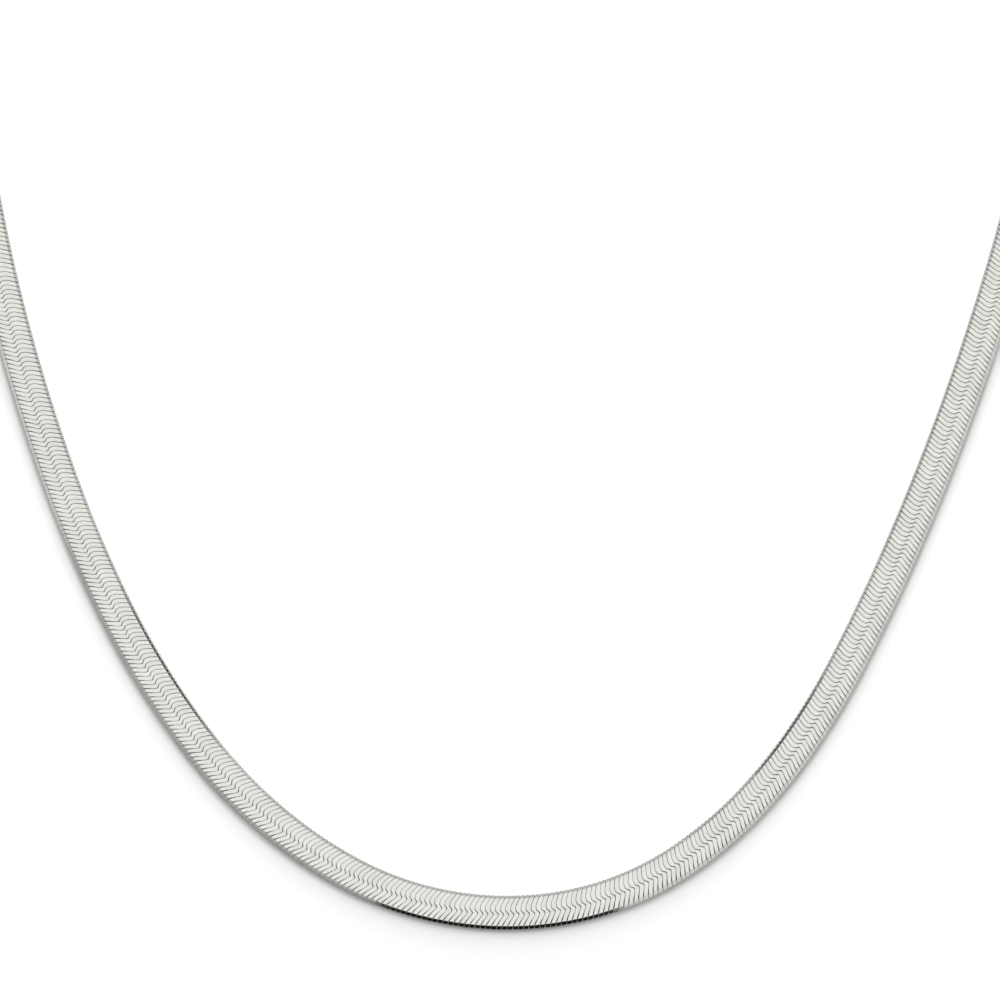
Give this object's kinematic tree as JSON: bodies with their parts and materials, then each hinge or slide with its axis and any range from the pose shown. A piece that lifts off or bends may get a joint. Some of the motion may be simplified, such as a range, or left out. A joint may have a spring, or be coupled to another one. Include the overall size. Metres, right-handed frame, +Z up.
{
  "type": "herringbone chain necklace",
  "caption": "Flat woven silver-coloured herringbone neck chain, a closed loop lying flat with end caps, a jump ring and a lobster clasp.",
  "frame": {"origin": "on the floor under the middle of the closed loop's box, with the underside of the band at Z = 0", "axes": "+Z up through the loop, -Y towards the low point of the front curve, +Y towards the clasp, +X to the wearer's left as seen by a viewer in front"},
  "size_m": [0.1294, 0.1642, 0.0026],
  "materials": {
    "band_silver": "bright sterling silver, flattened and burnished links",
    "fitting_silver": "polished sterling silver"
  },
  "bodies": {
    "root": {"herringbone_band": "band_silver", "end_cap_left": "fitting_silver", "end_cap_right": "fitting_silver", "jump_ring": "fitting_silver", "lobster_clasp": "fitting_silver"}
  },
  "joints": []
}
